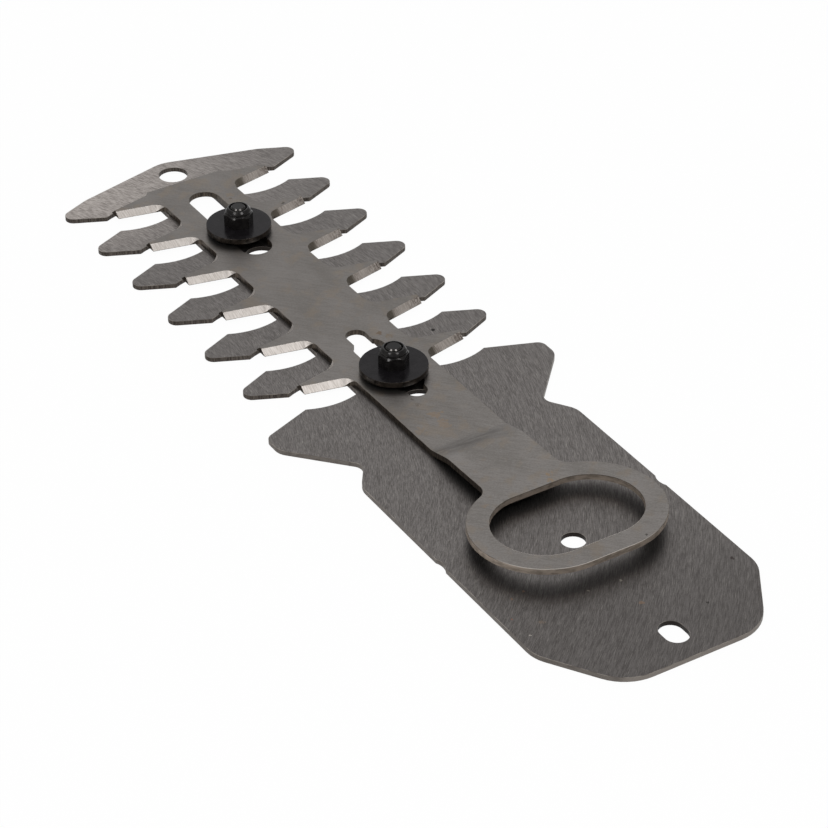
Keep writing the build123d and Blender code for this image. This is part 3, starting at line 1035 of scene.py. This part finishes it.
@dataclass(frozen=True)
class Studio:
    """The white floor, the plain world, the lamps and the camera."""

    floor_half: float = 6.0
    floor_drop: float = 0.1 * MM
    floor_glow: float = 0.97
    floor_colour: Colour = (0.9, 0.9, 0.9)
    floor_roughness: float = 0.9
    world: float = 0.40
    camera_azimuth: float = 31.2760
    camera_elevation: float = 34.6475
    camera_roll: float = -0.45185
    camera_distance: float = 0.72009
    camera_target: tuple[float, float, float] = (-0.00348785, 0.06447607, 0.0)
    lens: float = 127.72342
    sensor: float = 36.0
    clip: tuple[float, float] = (0.01, 50.0)

    def floor(self) -> bpy.types.Object:
        """Lay a white floor that keeps a faint shadow.

        It lies a hair under the object, so that their faces never meet. Seen directly, or in metal or
        glass, it is mostly plain white.
        """
        half, low = self.floor_half, -self.floor_drop
        corners = [(-half, -half, low), (half, -half, low), (half, half, low), (-half, half, low)]
        mesh = bpy.data.meshes.new("floor")
        mesh.from_pydata(corners, [], [(0, 1, 2, 3)])
        floor = bpy.data.objects.new("floor", mesh)
        bpy.context.scene.collection.objects.link(floor)
        graph = Graph("white_floor")
        graph.set(Base_Color=self.floor_colour, Roughness=self.floor_roughness)
        path = graph.add("ShaderNodeLightPath")
        seen = graph.combine("MAXIMUM", path.outputs["Is Camera Ray"], path.outputs["Is Glossy Ray"])
        seen = graph.combine("MAXIMUM", seen, path.outputs["Is Transmission Ray"])
        glow = graph.add("ShaderNodeEmission")
        mix = graph.add("ShaderNodeMixShader")
        graph.link(graph.product(seen, self.floor_glow), mix.inputs["Fac"])
        graph.link(graph.shader.outputs["BSDF"], mix.inputs[1])
        graph.link(glow.outputs["Emission"], mix.inputs[2])
        graph.link(mix.outputs["Shader"], graph.output.inputs["Surface"])
        mesh.materials.append(graph.material)
        return floor

    def sky(self) -> None:
        """Give the world one plain light grey."""
        world = bpy.data.worlds.new("studio")
        world.use_nodes = True
        background = world.node_tree.nodes["Background"]
        background.inputs["Color"].default_value = (1.0, 1.0, 1.0, 1.0)
        background.inputs["Strength"].default_value = self.world
        bpy.context.scene.world = world

    def lamps(self) -> None:
        """Hang the softboxes: one behind that the flat faces mirror, two in front that the bevels mirror."""
        for lamp in (
            Softbox("back_softbox", azimuth=31.0, elevation=36.0, width=1.5, height=1.0, radiance=0.70),
            Softbox("right_softbox", azimuth=166.0, elevation=53.0, width=0.30, height=0.33, radiance=8.9),
            Softbox("left_softbox", azimuth=257.0, elevation=52.0, width=0.30, height=0.33, radiance=8.9),
        ):
            lamp.build()

    def camera(self) -> bpy.types.Object:
        """Set up the camera at the photograph's viewing angle."""
        around, up = math.radians(self.camera_azimuth), math.radians(self.camera_elevation)
        look = Vector((math.sin(around) * math.cos(up), math.cos(around) * math.cos(up), -math.sin(up)))
        level_right = look.cross(Vector((0, 0, 1))).normalized()
        level_up = level_right.cross(look)
        roll = math.radians(self.camera_roll)
        right = math.cos(roll) * level_right + math.sin(roll) * level_up
        top = right.cross(look)
        data = bpy.data.cameras.new("camera")
        data.lens = self.lens
        data.sensor_width = self.sensor
        data.clip_start, data.clip_end = self.clip
        camera = bpy.data.objects.new("camera", data)
        turn = Matrix((right, top, -look)).transposed()
        camera.matrix_world = Matrix.Translation(
            Vector(self.camera_target) - self.camera_distance * look
        ) @ turn.to_4x4()
        bpy.context.scene.collection.objects.link(camera)
        bpy.context.scene.camera = camera
        return camera

    def build(self) -> None:
        """Set up everything round the object."""
        self.floor()
        self.sky()
        self.lamps()
        self.camera()
        bpy.context.scene.view_settings.view_transform = "Standard"


def main() -> None:
    """Build the sheets, the bolts and the studio in order."""
    logging.basicConfig(level=logging.INFO, format="%(name)s: %(message)s")
    # The plate's wall: a painted light towards the rear, a big lighter spot of painted light at its rear end,
    # and a painted shade in the holes.
    plate_wall = ShearedFinish(
        "sheared_plate_wall", dark=srgb(52, 46, 42), light=srgb(92, 85, 79), painted_light=srgb(112, 106, 101),
        painted_light_y=78.0 * MM, inner=8.0 * MM, marks=(Mark(0.0, -48.5, 22.0, srgb(134, 127, 121), 0.8, 0.3),),
    ).material()
    # The blade's wall: a painted light on the yoke's walls.
    blade_wall = ShearedFinish(
        "sheared_blade_wall", dark=srgb(50, 44, 38), light=srgb(92, 83, 74), painted_light=srgb(192, 178, 164),
        painted_light_y=18.0 * MM,
    ).material()
    plate_top = PlateFinish().material()
    blade_top = BladeFinish().material()
    ground = GroundFinish().material()
    plate_edge = EdgeFinish("plate_edge_wear_and_highlight", srgb(104, 98, 93), srgb(150, 143, 136)).material()
    # Painted highlight: a bright patch over the edges round the yoke.
    blade_edge = EdgeFinish(
        "blade_edge_wear_and_highlight", srgb(98, 92, 86), srgb(118, 111, 104),
        marks=(Mark(0.0, -14.0, 24.0, srgb(212, 204, 195), 0.9, 0.3),),
    ).material()
    sheets = [
        StampedSheet("lower_blade", "fixed_plate", Body.PLATE, Slot.PLATE_STEEL,
                     (plate_top, plate_top, plate_wall, plate_edge, ground)),
        StampedSheet("upper_blade", "moving_blade", Body.BLADE, Slot.BLADE_STEEL,
                     (blade_top, blade_top, blade_wall, blade_edge, ground), ease=0.12 * MM),
    ]
    for sheet in sheets:
        sheet.build()
    finishes = {
        Slot.BOLT_STEEL: TurnedFinish(
            "stud_steel", dark=srgb(58, 56, 55), light=srgb(80, 78, 76), roughness=0.2, sawn_z=CAD_BOX[1][2]
        ).material(),
        Slot.BUSH_STEEL: TurnedFinish(
            "bush_steel", dark=srgb(60, 56, 52), light=srgb(95, 90, 85), roughness=0.4
        ).material(),
        Slot.BLACK_OXIDE: BlackFinish(
            "washer_black", base=srgb(26, 24, 26), haze=srgb(33, 31, 33), roughness=0.2
        ).material(),
        Slot.RING_PLASTIC: NylonFinish().material(),
    }
    nut_finish = BlackFinish(
        "nut_black", base=srgb(30, 28, 28), haze=srgb(42, 40, 39), roughness=0.19, metal=0.4, shine=0.3
    ).material()
    rim_finish = BlackFinish(
        "washer_rim_black", base=srgb(36, 32, 28), haze=srgb(66, 59, 53), roughness=0.3, metal=0.7, shine=0.3
    ).material()
    for bolt in (GuideBolt("front", nut_turn=42.2), GuideBolt("rear", nut_turn=38.7)):
        for piece in bolt.build(finishes, nut_finish, rim_finish):
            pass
    Studio().build()


if __name__ == "__main__":
    main()
